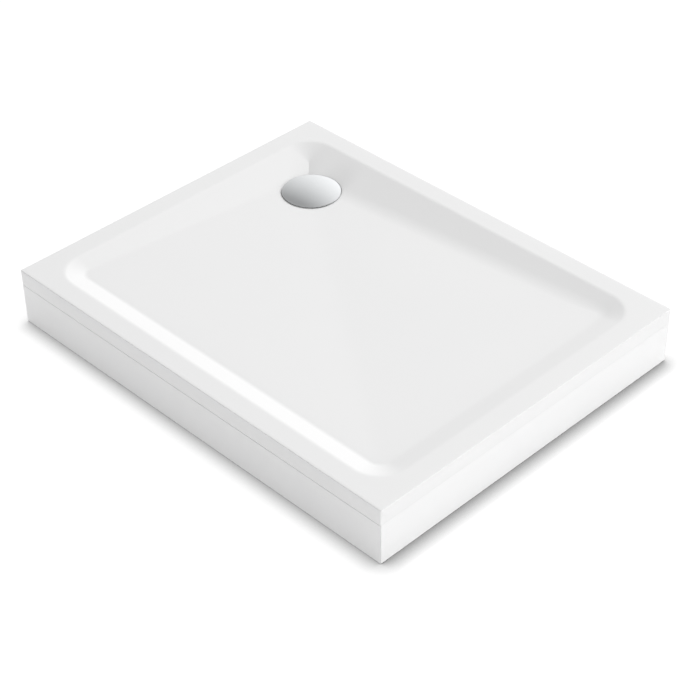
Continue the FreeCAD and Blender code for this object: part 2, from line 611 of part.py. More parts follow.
def build_strainer():
    """Slotted plate with a hub for the cover and a dip tube down into the trap's water."""
    edge = NECK_RADIUS - SLIDE_GAP
    tube_inner = DIP_TUBE_RADIUS - TUBE_WALL
    tube_low = BOWL_FLOOR_LIFT + BOWL_WALL + DIP_TUBE_END_GAP
    body = disc(edge, STRAINER_UNDERSIDE, STRAINER_TOP, DRAIN)
    body = body.fuse(disc(HUB_RADIUS, STRAINER_TOP, STRAINER_TOP + HUB_HEIGHT, DRAIN))
    body = body.fuse(ring(tube_inner, DIP_TUBE_RADIUS, tube_low, STRAINER_UNDERSIDE, DRAIN))
    slot = block(
        (DRAIN[0] + HUB_RADIUS + STRAINER_WEB, DRAIN[0] + tube_inner - STRAINER_WEB),
        (DRAIN[1] - STRAINER_SLOT_WIDTH / 2, DRAIN[1] + STRAINER_SLOT_WIDTH / 2),
        (STRAINER_UNDERSIDE - CUT_OVERRUN, STRAINER_TOP + CUT_OVERRUN),
    )
    for cutter in around(slot, DRAIN, STRAINER_SLOTS):
        body = body.cut(cutter)
    bore_low = STRAINER_UNDERSIDE - CUT_OVERRUN
    body = body.cut(disc(HUB_BORE_RADIUS, bore_low, STRAINER_TOP + HUB_HEIGHT + CUT_OVERRUN, DRAIN))
    save("strainer", body.removeSplitter())
    seal = ring(NECK_RADIUS - LEDGE_WIDTH, edge, LEDGE_TOP + END_GAP, STRAINER_UNDERSIDE, DRAIN)
    save("strainer_seal", seal)


def flange_screw(spot):
    cone_low = FLANGE_TOP - FLANGE_SCREW_HEAD_HEIGHT
    body = taper(FLANGE_SCREW_RADIUS, FLANGE_SCREW_HEAD_RADIUS, cone_low, FLANGE_TOP, spot)
    body = body.fuse(disc(FLANGE_SCREW_RADIUS, FLANGE_TOP - FLANGE_SCREW_LENGTH, cone_low, spot))
    recess = hexagon(DRIVE_ACROSS_FLATS, FLANGE_TOP - DRIVE_DEPTH, FLANGE_TOP + CUT_OVERRUN, spot)
    return body.cut(recess)


def flange_screw_hole(spot):
    """Countersunk hole that follows the screw at a small distance all round."""
    cone_low = FLANGE_TOP - FLANGE_SCREW_HEAD_HEIGHT
    radius = FLANGE_SCREW_RADIUS + THREAD_GAP
    low = FLANGE_TOP - FLANGE_SCREW_LENGTH - THREAD_GAP
    hole = taper(radius, FLANGE_SCREW_HEAD_RADIUS + THREAD_GAP, cone_low, FLANGE_TOP, spot)
    return hole.fuse(disc(radius, low, FLANGE_TOP, spot))


def build_flange():
    spots = on_circle(FLANGE_SCREW_CIRCLE, FLANGE_SCREW_COUNT, DRAIN, 180.0 / FLANGE_SCREW_COUNT)
    body = ring(NECK_RADIUS, FLANGE_RADIUS, FLANGE_UNDERSIDE, FLANGE_TOP, DRAIN)
    sleeve = ring(NECK_RADIUS, NECK_RADIUS + SLEEVE_WALL, TRAP_TOP - SLEEVE_ENTRY, FLANGE_TOP, DRAIN)
    body = body.fuse(sleeve)
    ledge_inner = NECK_RADIUS - LEDGE_WIDTH
    ledge_outer = NECK_RADIUS + SLEEVE_WALL / 2
    body = body.fuse(ring(ledge_inner, ledge_outer, LEDGE_TOP - LEDGE_THICKNESS, LEDGE_TOP, DRAIN))
    for spot in spots:
        body = body.cut(flange_screw_hole(spot))
    save("flange_ring", body.removeSplitter())
    save("flange_screws", *[flange_screw(spot) for spot in spots])
    save("flange_gasket", ring(GASKET_INNER_RADIUS, FLANGE_RADIUS, SEAT, FLANGE_UNDERSIDE, DRAIN))
    save("trap_gasket", ring(GASKET_INNER_RADIUS, FLANGE_RADIUS, TRAP_TOP, UNDERSIDE, DRAIN))
    return spots


def bowl(radius, low, high, corner):
    """Round pot with its lower edge rounded."""
    body = disc(radius, low, high, DRAIN)
    return body.makeFillet(corner, edges_between(body, low, low))


def build_trap(screw_spots):
    """Bowl under the tray, a collar with screw bosses on top of it, and an outlet towards the wall."""
    collar_low = TRAP_TOP - TRAP_TOP_PLATE
    spigot_radius = PIPE_SOCKET_RADIUS + SPIGOT_WALL
    mouth = DRAIN[1] + BOWL_RADIUS + SPIGOT_LENGTH
    way = bar(OUTLET_WAY_RADIUS, DRAIN[1], mouth, DRAIN, OUTLET_HEIGHT)
    inside = bowl(
        BOWL_RADIUS - BOWL_WALL,
        BOWL_FLOOR_LIFT + BOWL_WALL,
        collar_low + CUT_OVERRUN,
        BOWL_FOOT_ROUND - BOWL_WALL,
    )
    pot = bowl(BOWL_RADIUS, BOWL_FLOOR_LIFT, collar_low, BOWL_FOOT_ROUND).cut(inside).cut(way)

    collar = ring(NECK_RADIUS + SLEEVE_WALL + THREAD_GAP, FLANGE_RADIUS, collar_low, TRAP_TOP, DRAIN)
    boss_low = FLANGE_TOP - FLANGE_SCREW_LENGTH - BOSS_FLOOR
    for spot in screw_spots:
        boss = disc(BOSS_RADIUS, boss_low, collar_low, spot)
        collar = collar.fuse(boss)
        pot = pot.cut(boss)    # a boss that reaches the bowl's wall stands through it
    save("trap_bowl", pot)
    for spot in screw_spots:
        collar = collar.cut(flange_screw_hole(spot))
    save("trap_collar", collar.removeSplitter())

    outlet = bar(spigot_radius, DRAIN[1], mouth, DRAIN, OUTLET_HEIGHT)
    outlet = outlet.cut(disc(BOWL_RADIUS, BOWL_FLOOR_LIFT, TRAP_TOP, DRAIN)).cut(way)
    socket = (mouth - SOCKET_DEPTH, mouth + CUT_OVERRUN)
    save("trap_outlet", outlet.cut(bar(PIPE_SOCKET_RADIUS, *socket, DRAIN, OUTLET_HEIGHT)))
    seal_end = mouth + OUTLET_SEAL_LENGTH
    seal_bore = PIPE_SOCKET_RADIUS + THREAD_GAP
    seal = bar(spigot_radius, mouth, seal_end, DRAIN, OUTLET_HEIGHT)
    seal = seal.cut(bar(seal_bore, mouth - CUT_OVERRUN, seal_end + CUT_OVERRUN, DRAIN, OUTLET_HEIGHT))
    save("outlet_seal", seal)
    build_outlet_nut(spigot_radius, seal_end)


def build_outlet_nut(spigot_radius, seal_end):
    """Ribbed nut that presses the seal on the pipe."""
    start = seal_end - OUTLET_NUT_LENGTH
    end = seal_end + OUTLET_NUT_LIP
    radius = spigot_radius + OUTLET_NUT_WALL
    body = bar(radius, start, end, DRAIN, OUTLET_HEIGHT)
    rib = block(
        (DRAIN[0] - OUTLET_NUT_RIB_HEIGHT, DRAIN[0] + OUTLET_NUT_RIB_HEIGHT),
        (start, end),
        (OUTLET_HEIGHT + spigot_radius + OUTLET_NUT_WALL / 2, OUTLET_HEIGHT + radius + OUTLET_NUT_RIB_HEIGHT),
    )
    for i in range(OUTLET_NUT_RIBS):
        copy = rib.copy()
        copy.rotate(at(DRAIN[0], 0, OUTLET_HEIGHT), at(0, 1, 0), 360.0 * i / OUTLET_NUT_RIBS)
        body = body.fuse(copy)
    body = body.cut(bar(spigot_radius + THREAD_GAP, start - CUT_OVERRUN, seal_end, DRAIN, OUTLET_HEIGHT))
    lip_bore = PIPE_SOCKET_RADIUS + SLIDE_GAP
    body = body.cut(bar(lip_bore, start - CUT_OVERRUN, end + CUT_OVERRUN, DRAIN, OUTLET_HEIGHT))
    save("outlet_nut", body.removeSplitter())


def build_waste():
    build_cover()
    build_strainer()
    build_trap(build_flange())


os.makedirs("parts", exist_ok=True)
build_tray()
build_legs()
build_panels()
build_waste()
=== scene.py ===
import json
import math

import bpy
import numpy as np
from mathutils import Matrix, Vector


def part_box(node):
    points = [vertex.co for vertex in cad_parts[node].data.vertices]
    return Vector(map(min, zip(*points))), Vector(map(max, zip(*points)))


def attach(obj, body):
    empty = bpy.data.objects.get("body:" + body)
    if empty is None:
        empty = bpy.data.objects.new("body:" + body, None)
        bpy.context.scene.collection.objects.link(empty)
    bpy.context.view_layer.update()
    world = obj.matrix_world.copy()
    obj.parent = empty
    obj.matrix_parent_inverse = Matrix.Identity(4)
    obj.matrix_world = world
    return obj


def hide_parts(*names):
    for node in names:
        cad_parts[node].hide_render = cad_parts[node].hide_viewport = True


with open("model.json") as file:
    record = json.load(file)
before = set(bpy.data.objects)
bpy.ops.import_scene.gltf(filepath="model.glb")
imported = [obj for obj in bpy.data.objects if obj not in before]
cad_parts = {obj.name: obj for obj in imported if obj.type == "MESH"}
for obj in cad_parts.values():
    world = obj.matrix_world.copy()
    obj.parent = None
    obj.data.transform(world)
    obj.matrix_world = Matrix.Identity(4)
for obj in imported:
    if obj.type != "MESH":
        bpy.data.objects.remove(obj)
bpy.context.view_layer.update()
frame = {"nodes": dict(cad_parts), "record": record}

# Shower tray on a leg-and-panel kit. Metres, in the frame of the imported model. Sharp angles are
# in degrees and the camera's angles in radians.

# ---- places taken from the frame ----
CAP_LOW, CAP_HIGH = (np.array(corner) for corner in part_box("tray_cap"))
HALF = CAP_HIGH[:2]
UNDERSIDE = CAP_LOW[2]
RIM_TOP = CAP_HIGH[2]
FLANGE_LOW, FLANGE_HIGH = (np.array(corner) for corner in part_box("flange_ring"))
DRAIN = (FLANGE_LOW[:2] + FLANGE_HIGH[:2]) / 2

# ---- sizes of the tray's skin ----
RIM_WIDTH = 0.044
SKIN = 0.003
CORNER_ROUND = 0.0025
TOP_ROUND = 0.0015
BOTTOM_ROUND = 0.0004
BASIN_CORNER = 0.065
WALL_RUN = 4.35            # run of the left, right and front walls for each unit of drop
BACK_RUN_MORE = 0.75       # the back wall leans in further
BACK_BLEND = 0.12          # width, across a back corner, where a side wall turns into the back
RIM_SOFTNESS = 0.0009
FOOT_SOFTNESS = 0.0010
BACK_SOFTNESS_MORE = 0.0030
VALLEY_SOFTNESS = 0.0004
SHALLOW_DEPTH = 0.009
DRAIN_DEPTH = 0.0198
LAND = RIM_TOP - DRAIN_DEPTH   # flat ring of the tray round the waste
LAND_RADIUS = 0.064
DISH_SLOPE = 4.0
DISH_SOFTNESS = 0.0006
APRON_LIFT = 0.0022        # behind the cover, the back wall's foot comes down this near to the land
APRON_SLOPE = 0.27
APRON_SOFTNESS = 0.0016
SEAT_DEPTH = 0.0048
SEAT_RADIUS = 0.0575
HOLE_RADIUS = 0.045
SEAT_EDGE_ROUND = 0.0005

# ---- rings and points of the tray's skin ----
PER_CORNER = 30
PER_SIDE = 92
EASED_EDGE_STEPS = 6
RIM_INSETS = (0.006, 0.036, 5)         # first, last and count of the rings on the rim
WALL_INSETS = (0.038, 0.105, 0.0018)   # first, end and spacing of the rings down the wall
FLOOR_RINGS = 46           # counted with the wall's last ring, where they start
FLOOR_CROWDING = 1.25      # rings stand closer near the walls' feet than at the waste
LIP_BEYOND = 0.003         # rings of the dish's wall start this far outside the land's edge
LIP_WITHIN = 0.001         # and end this far inside it
LIP_RINGS = 11             # counted with the floor's last ring, where they start
SEAT_BEYOND = 0.003        # one ring on the land, this far outside the seat
UNDER_RINGS = 12           # beneath the floor, and as many beneath the wall
UNDER_INSETS = (0.100, 0.036)          # first and last of the rings beneath the wall
SKIN_SHARP_ANGLE = 35

# ---- sizes of the waste cover and the studs ----
COVER_RADIUS = 0.063
COVER_RIM_HEIGHT = 0.0009
COVER_CROWN = 0.0065
COVER_SHEET = 0.0015
COVER_EDGE_ROUND = 0.0005
COVER_LIP_ROUND = 0.0004
COVER_LIFT = 0.0025        # the rim's lower edge stands this far over the land
COVER_RIM = LAND + COVER_LIFT
COVER_EDGE_STEPS = 8
COVER_INSIDE_RINGS = 30
COVER_OUTSIDE_RINGS = 44
COVER_AROUND = 240
COVER_SHARP_ANGLE = 50
STUD_RADIUS = 0.006
STUD_PIN_RADIUS = 0.0045
STUD_PITCH = 0.00175
THREAD_DEPTH = 0.6134 * STUD_PITCH   # depth of a metric thread
THREAD_START = 0.0005      # first ring of the thread, over the collar
THREAD_FADE = 0.001
THREAD_STEEPNESS = 1.25    # over 1 + THREAD_CREST, so that the root is flat too
THREAD_CREST = 0.12        # taken off the steepened wave, so that the crest is flat
THREAD_RINGS = 320
STUD_AROUND = 48
STUD_END_BEVEL = 0.0005
STUD_SHARP_ANGLE = 32
POLE_RADIUS = 0.0001       # the stud's ends draw in to an open pinhole of this radius
COLLAR_ACROSS_FLATS = 0.017
COLLAR_LOW = 0.022
COLLAR_HIGH = 0.028
COLLAR_BEVEL = 0.0006
COLLAR_CORNER_EASE = 0.0004   # the bevelled corners reach this far beyond the flats


# ---- meshes ----
def mesh_piece(name, points, sharp_angle, wrap_rings=False):
    """Grid of rings, each a closed loop of points; every ring is joined to the next one, and the
    last to the first where wrap_rings is set. Faces point to the side on the right of the rings'
    advance, seen along the loops."""
    rings, around, _ = points.shape
    i = np.arange(rings if wrap_rings else rings - 1)[:, None]
    j = np.arange(around)[None, :]
    here, there = i * around, (i + 1) % rings * around
    following = (j + 1) % around
    quads = np.stack([here + j, here + following, there + following, there + j], axis=-1)
    quads = quads.reshape(-1, 4)
    mesh = bpy.data.meshes.new(name)
    mesh.vertices.add(rings * around)
    mesh.vertices.foreach_set("co", points.astype(np.float32).ravel())
    mesh.loops.add(quads.size)
    mesh.loops.foreach_set("vertex_index", quads.astype(np.int32).ravel())
    mesh.polygons.add(len(quads))
    mesh.polygons.foreach_set("loop_start", np.arange(0, quads.size, 4, dtype=np.int32))
    mesh.polygons.foreach_set("use_smooth", np.ones(len(quads), dtype=bool))
    mesh.update(calc_edges=True)
    mesh.validate()
    mesh.set_sharp_from_angle(angle=math.radians(sharp_angle))
    piece = bpy.data.objects.new(name, mesh)
    bpy.context.scene.collection.objects.link(piece)
    return piece


def lathe(name, profile, centre, around, sharp_angle):
    """(radius, height) profile carried round an upright axis: x = r cos a, y = r sin a."""
    angle = np.linspace(0, 2 * np.pi, around, endpoint=False)
    radius, height = profile[:, 0:1], profile[:, 1:2]
    x, y = centre[0] + radius * np.cos(angle), centre[1] + radius * np.sin(angle)
    points = np.stack([x, y, height + 0 * angle], axis=-1)
    return mesh_piece(name, points, sharp_angle)


def rounded_outline(inset, corner):
    """Rounded rectangle, the tray's outline moved in by an inset: four quarter circles, counter-
    clockwise, with evenly spaced points on the straight lines between them."""
    signs = np.array([[1, 1], [-1, 1], [-1, -1], [1, -1]])
    centres = signs * (HALF - inset - corner)
    turn = np.arange(4)[:, None] * np.pi / 2 + np.linspace(0, np.pi / 2, PER_CORNER)
    arcs = centres[:, None] + corner * np.stack([np.cos(turn), np.sin(turn)], axis=-1)
    ends, starts = arcs[:, -1:], np.roll(arcs[:, :1], -1, axis=0)
    along = np.linspace(0, 1, PER_SIDE + 2)[None, 1:-1, None]
    return np.concatenate([arcs, ends + along * (starts - ends)], axis=1).reshape(-1, 2)


def soft_max(a, b, softness):
    """The larger of two heights, with the crease filled: max + h^2 s / 4, h = 1 - |a - b| / s."""
    near = np.maximum(softness - np.abs(a - b), 0) / softness
    return np.maximum(a, b) + near**2 * softness / 4


def soft_min(a, b, softness):
    """The lower of two heights, with the edge between them rounded in the same way."""
    return -soft_max(-a, -b, softness)


def basin_height(x, y):
    """Height of the tray's top at (x, y). A wall falls at a steady slope with its distance from the
    rim's inner edge, which is a rounded rectangle. The floor is the higher of two planes that fall
    to the waste, one from the front and one from the right. Round the waste the surface is no
    higher than a shallow cone, the apron, nor than a steep one, the dish's wall, whose foot is the
    land. Creases are filled by soft_max and soft_min."""
    inner = HALF - RIM_WIDTH - BASIN_CORNER
    beyond = np.stack([np.abs(x) - inner[0], np.abs(y) - inner[1]])
    outside = np.maximum(beyond, 0)
    distance = BASIN_CORNER - np.hypot(outside[0], outside[1]) - np.minimum(beyond.max(axis=0), 0)
    backness = np.clip((beyond[1] - beyond[0]) / BACK_BLEND + 0.5, 0, 1) * (y > 0)
    backness = backness**2 * (3 - 2 * backness)
    wall = RIM_TOP - distance / (WALL_RUN + BACK_RUN_MORE * backness)
    foot = RIM_WIDTH + WALL_RUN * SHALLOW_DEPTH
    start = RIM_TOP - SHALLOW_DEPTH
    drop = DRAIN_DEPTH - SHALLOW_DEPTH
    front, right = foot - HALF[1], HALF[0] - foot
    from_front = start - drop * (y - front) / (DRAIN[1] - front)
    from_right = start - drop * (right - x) / (right - DRAIN[0])
    floor = soft_max(from_front, from_right, VALLEY_SOFTNESS)
    height = soft_max(wall, floor, FOOT_SOFTNESS + BACK_SOFTNESS_MORE * backness)
    height = soft_min(height, np.full_like(x, RIM_TOP), RIM_SOFTNESS)
    beyond_land = np.hypot(x - DRAIN[0], y - DRAIN[1]) - LAND_RADIUS
    apron = LAND + APRON_LIFT + APRON_SLOPE * beyond_land
    dish = soft_max(LAND + DISH_SLOPE * beyond_land, np.full_like(x, LAND), DISH_SOFTNESS)
    cut = soft_min(soft_min(height, apron, APRON_SOFTNESS), dish, DISH_SOFTNESS)
    return np.where(distance > 0.0, cut, height)


def tray_skin():
    """The moulded cap as one closed shell. Rings run up the outer face, over the rim, down the
    wall and across the floor to the waste hole, and back beneath at the skin's thickness."""
    def at_height(plan, height):
        return np.concatenate([plan, np.broadcast_to(height, plan.shape[:1])[:, None]], axis=1)

    def on_basin(plan, below=0.0):
        return at_height(plan, basin_height(plan[:, 0], plan[:, 1]) - below)

    def on_rim(inset):
        share = min(inset / RIM_WIDTH, 1)
        past = max(inset - RIM_WIDTH, 0)
        corner = CORNER_ROUND + (BASIN_CORNER - CORNER_ROUND) * share - past
        return rounded_outline(inset, corner)

    quarter = np.linspace(0, np.pi / 2, EASED_EDGE_STEPS)
    rings = []
    for angle in quarter:
        inset = BOTTOM_ROUND * (1 - np.sin(angle))
        rings.append(at_height(on_rim(inset), UNDERSIDE + BOTTOM_ROUND * (1 - np.cos(angle))))
    for angle in quarter:
        inset = TOP_ROUND * (1 - np.cos(angle))
        rings.append(at_height(on_rim(inset), RIM_TOP - TOP_ROUND * (1 - np.sin(angle))))
    insets = np.concatenate([np.linspace(*RIM_INSETS), np.arange(*WALL_INSETS)])
    for inset in insets:
        rings.append(on_basin(on_rim(inset)))
    edge = rings[-1][:, :2]
    outward = edge - DRAIN
    outward /= np.linalg.norm(outward, axis=1, keepdims=True)

    def round_waste(radius):
        return DRAIN + radius * outward

    lip = round_waste(LAND_RADIUS + LIP_BEYOND)
    for share in np.linspace(0, 1, FLOOR_RINGS)[1:] ** FLOOR_CROWDING:
        rings.append(on_basin(edge + share * (lip - edge)))
    dish_wall = np.linspace(LAND_RADIUS + LIP_BEYOND, LAND_RADIUS - LIP_WITHIN, LIP_RINGS)[1:]
    for radius in np.append(dish_wall, [SEAT_RADIUS + SEAT_BEYOND, SEAT_RADIUS + SEAT_EDGE_ROUND]):
        rings.append(on_basin(round_waste(radius)))
    seat = LAND - SEAT_DEPTH
    rings.append(at_height(round_waste(SEAT_RADIUS), LAND - SEAT_EDGE_ROUND))
    rings.append(at_height(round_waste(SEAT_RADIUS), seat))
    rings.append(at_height(round_waste(HOLE_RADIUS), seat))
    rings.append(at_height(round_waste(HOLE_RADIUS), seat - SKIN))
    rings.append(at_height(round_waste(SEAT_RADIUS + SKIN), seat - SKIN))
    rings.append(at_height(round_waste(SEAT_RADIUS + SKIN), LAND - SKIN))
    for share in np.linspace(1, 0, UNDER_RINGS):
        rings.append(on_basin(edge + share * (lip - edge), SKIN))
    for inset in np.linspace(*UNDER_INSETS, UNDER_RINGS):
        rings.append(on_basin(on_rim(inset), SKIN))
    rings.append(at_height(on_rim(SKIN), RIM_TOP - SKIN))
    rings.append(at_height(on_rim(SKIN), UNDERSIDE))
    return mesh_piece("tray_skin", np.array(rings), SKIN_SHARP_ANGLE, wrap_rings=True)


def cover_shell():
    """Domed sheet: a cap of a sphere over a short upright rim, with a rounded shoulder. The sheet's
    inside is the same curve, one sheet's thickness lower."""
    shoulder = COVER_RIM + COVER_RIM_HEIGHT
    curve = (COVER_RADIUS**2 + COVER_CROWN**2) / (2 * COVER_CROWN)

    def cap(radius):
        return shoulder + COVER_CROWN - curve + np.sqrt(curve**2 - radius**2)

    reach = COVER_RADIUS - COVER_EDGE_ROUND
    turn = np.linspace(0, np.pi / 2, COVER_EDGE_STEPS)[:-1]
    cosine, sine = np.cos(turn), np.sin(turn)
    shoulder_edge = np.stack(
        [reach + COVER_EDGE_ROUND * cosine, cap(reach) - COVER_EDGE_ROUND * (1 - sine)], axis=1
    )
    lip_radius = COVER_RADIUS - COVER_LIP_ROUND * (1 - sine)
    lip_height = COVER_RIM + COVER_LIP_ROUND * (1 - cosine)
    lower_lip = np.stack([lip_radius, lip_height], axis=1)
    inner_radius = np.linspace(0, COVER_RADIUS - COVER_SHEET, COVER_INSIDE_RINGS)
    inside = np.stack([inner_radius, cap(inner_radius) - COVER_SHEET], axis=1)
    lip = np.array([[COVER_RADIUS - COVER_SHEET, COVER_RIM]])
    outer_radius = np.linspace(reach, 0, COVER_OUTSIDE_RINGS)
    outside = np.stack([outer_radius, cap(outer_radius)], axis=1)
    profile = np.concatenate([inside, lip, lower_lip, shoulder_edge, outside])
    return lathe("cover_shell", profile, DRAIN, COVER_AROUND, COVER_SHARP_ANGLE)


def hexagon_radius(angle, across_flats):
    """Distance from the axis to a six-sided outline: the flat's distance over the cosine of the
    angle to the middle of the nearest flat."""
    return across_flats / 2 / np.cos((angle % (np.pi / 3)) - np.pi / 6)


def threaded_stud(name, low, high):
    """Levelling stud. Its thread is a steady triangular wave in height less one pitch for each turn
    round the axis, cut flat at crest and root. It fades to the root's radius over the last
    millimetre at both ends."""
    centre = (low[:2] + high[:2]) / 2
    angle = np.linspace(0, 2 * np.pi, STUD_AROUND, endpoint=False)[None, :]
    round_part = np.ones_like(angle)
    flats = hexagon_radius(angle, COLLAR_ACROSS_FLATS)
    bevelled = np.minimum(flats, flats.min() + COLLAR_CORNER_EASE)
    parts = [
        (POLE_RADIUS * round_part, low[2]),
        ((STUD_PIN_RADIUS - STUD_END_BEVEL) * round_part, low[2]),
        (STUD_PIN_RADIUS * round_part, low[2] + STUD_END_BEVEL),
        (STUD_PIN_RADIUS * round_part, COLLAR_LOW),
        (bevelled, COLLAR_LOW),
        (flats, COLLAR_LOW + COLLAR_BEVEL),
        (flats, COLLAR_HIGH - COLLAR_BEVEL),
        (bevelled, COLLAR_HIGH),
        ((STUD_RADIUS - THREAD_DEPTH) * round_part, COLLAR_HIGH),
    ]
    plain_rings = [np.concatenate([radius, 0 * angle + height]) for radius, height in parts]
    height = np.linspace(COLLAR_HIGH + THREAD_START, high[2], THREAD_RINGS)[:, None]
    wave = np.abs(((height / STUD_PITCH - angle / (2 * np.pi)) % 1) * 2 - 1)
    fade = np.clip(np.minimum(height - COLLAR_HIGH, high[2] - height) / THREAD_FADE, 0, 1)
    profile = np.clip(wave * THREAD_STEEPNESS - THREAD_CREST, 0, 1)
    depth = THREAD_DEPTH * (1 - fade * (1 - profile))
    thread = np.stack([STUD_RADIUS - depth, height + 0 * angle], axis=1)
    end = np.concatenate([POLE_RADIUS * round_part, 0 * angle + high[2]])
    rings = np.concatenate([np.array(plain_rings), thread, [end]])
    x, y = centre[0] + rings[:, 0] * np.cos(angle), centre[1] + rings[:, 0] * np.sin(angle)
    return mesh_piece(name, np.stack([x, y, rings[:, 1]], axis=-1), STUD_SHARP_ANGLE)


# ---- finishes ----
class Value:
    """A shader socket. Used in an expression, it adds Math nodes."""

    def __init__(self, finish, socket):
        self.finish, self.socket = finish, socket

    def maths(self, operation, first, second):
        return self.finish.node("ShaderNodeMath", {"operation": operation}, {0: first, 1: second})

    def __add__(self, other):
        return self.maths("ADD", self, other)

    def __sub__(self, other):
        return self.maths("SUBTRACT", self, other)

    def __rsub__(self, other):
        return self.maths("SUBTRACT", other, self)

    def __mul__(self, other):
        return self.maths("MULTIPLY", self, other)

    __radd__ = __add__
    __rmul__ = __mul__


class Finish:
    """A procedural material, or the world."""

    def __init__(self, owner, **constants):
        self.owner = owner
        owner.use_nodes = True
        self.tree = owner.node_tree
        self.shader = self.tree.nodes.get("Principled BSDF")
        for name, value in constants.items():
            self.shader.inputs[name.replace("_", " ")].default_value = value

    def feed(self, socket, value):
        if isinstance(value, Value):
            self.tree.links.new(value.socket, socket)
        else:
            socket.default_value = value

    def node(self, kind, settings=None, inputs=None, output=0):
        made = self.tree.nodes.new(kind)
        for name, value in (settings or {}).items():
            setattr(made, name, value)
        for key, value in (inputs or {}).items():
            self.feed(made.inputs[key], value)
        return Value(self, made.outputs[output])

    def show(self, **inputs):
        for name, value in inputs.items():
            self.feed(self.shader.inputs[name.replace("_", " ")], value)

    def place(self):
        return self.node("ShaderNodeTexCoord", output="Object")

    def noise(self, scale, detail, place=None):
        inputs = {"Vector": place or self.place(), "Scale": scale, "Detail": detail}
        return self.node("ShaderNodeTexNoise", None, inputs)

    def cells(self, scale):
        """Distance to the nearest of a cloud of points."""
        inputs = {"Vector": self.place(), "Scale": scale}
        return self.node("ShaderNodeTexVoronoi", None, inputs, "Distance")

    def stretched(self, scale):
        return self.node("ShaderNodeMapping", None, {"Vector": self.place(), "Scale": scale})

    def between(self, value, low, high):
        """0 below low, 1 above high and a straight line between them."""
        limits = {"Value": value, "From Min": low, "From Max": high}
        return self.node("ShaderNodeMapRange", None, limits)

    def mixed(self, mask, first, second):
        """first where the mask is 0 and second where it is 1. Sockets 6, 7 and output 2 are the
        Mix node's colours."""
        colours = {0: mask, 6: first + (1,), 7: second + (1,)}
        return self.node("ShaderNodeMix", {"data_type": "RGBA"}, colours, output=2)

    def bumped(self, height, strength, distance):
        inputs = {"Strength": strength, "Distance": distance, "Height": height}
        return self.node("ShaderNodeBump", None, inputs)


def new_finish(name, **constants):
    return Finish(bpy.data.materials.new(name), **constants)


def sanitary_gloss(name, light, dark, roughness):
    """Glossy white, of acrylic or panel board: nearly even, with a faint waviness in the gloss and
    light polishing marks."""
    finish = new_finish(name, IOR=1.49)
    cloud = finish.noise(5.0, 2.0)
    ripple = finish.noise(38.0, 2.0)
    polish = finish.noise(260.0, 4.0)
    finish.show(
        Base_Color=finish.mixed(finish.between(cloud, 0.3, 0.7), dark, light),
        Roughness=roughness + 0.05 * cloud + 0.03 * polish,
        Normal=finish.bumped(ripple + 0.15 * polish, 0.10, 0.0003),
    )
    return finish.owner


def moulded_plastic(name, light, dark, roughness):
    """Injection-moulded plastic: a fine spark-eroded grain and slow changes of tone."""
    finish = new_finish(name, IOR=1.5)
    grainy = finish.noise(900.0, 4.0)
    flow = finish.noise(14.0, 3.0)
    finish.show(
        Base_Color=finish.mixed(finish.between(flow, 0.3, 0.7), dark, light),
        Roughness=roughness + 0.12 * grainy,
        Normal=finish.bumped(grainy, 0.25, 0.0002),
    )
    return finish.owner


def rubber(name):
    """Black rubber: a greyish bloom over a fine grain."""
    finish = new_finish(name, IOR=1.52)
    bloom = finish.noise(60.0, 5.0)
    grain = finish.noise(1200.0, 3.0)
    mask = finish.between(bloom, 0.42, 0.72)
    finish.show(
        Base_Color=finish.mixed(mask, (0.022, 0.022, 0.023), (0.05, 0.05, 0.049)),
        Roughness=0.72 + 0.18 * bloom,
        Normal=finish.bumped(grain, 0.35, 0.0002),
    )
    return finish.owner


def plated_steel(name, light, dark, roughness):
    """Zinc plating or stainless: drawn marks along the axis and a cloudy tone."""
    finish = new_finish(name, Metallic=1.0)
    cloud = finish.noise(90.0, 4.0)
    marks = finish.noise(1.0, 3.0, finish.stretched((2600.0, 2600.0, 240.0)))
    finish.show(
        Base_Color=finish.mixed(finish.between(cloud, 0.35, 0.65), dark, light),
        Roughness=roughness + 0.18 * marks,
        Normal=finish.bumped(marks, 0.15, 0.0001),
    )
    return finish.owner


def polished_chrome(name):
    """Mirror plating with a trace of haze and of wiping marks."""
    finish = new_finish(name, Metallic=1.0)
    haze = finish.noise(70.0, 3.0)
    wipe = finish.noise(1.0, 3.0, finish.stretched((900.0, 60.0, 60.0)))
    mask = finish.between(haze, 0.3, 0.7)
    finish.show(
        Base_Color=finish.mixed(mask, (0.785, 0.80, 0.81), (0.80, 0.815, 0.825)),
        Roughness=0.06 + 0.05 * haze + 0.04 * wipe,
        Normal=finish.bumped(wipe, 0.01, 0.0001),
    )
    return finish.owner


def cast_resin(name):
    """Mineral-filled resin: grains of filler in a paler binder, with small pores."""
    finish = new_finish(name, IOR=1.5)
    grains = finish.cells(420.0)
    pores = finish.cells(95.0)
    cloud = finish.noise(9.0, 4.0)
    speck = finish.between(grains, 0.15, 0.7) * 0.7 + 0.3 * cloud
    pitted = finish.between(pores, 0.02, 0.22)
    finish.show(
        Base_Color=finish.mixed(speck, (0.50, 0.47, 0.42), (0.76, 0.73, 0.68)),
        Roughness=0.78 + 0.15 * cloud,
        Normal=finish.bumped(pitted + 0.3 * grains, 0.5, 0.0006),
    )
    return finish.owner


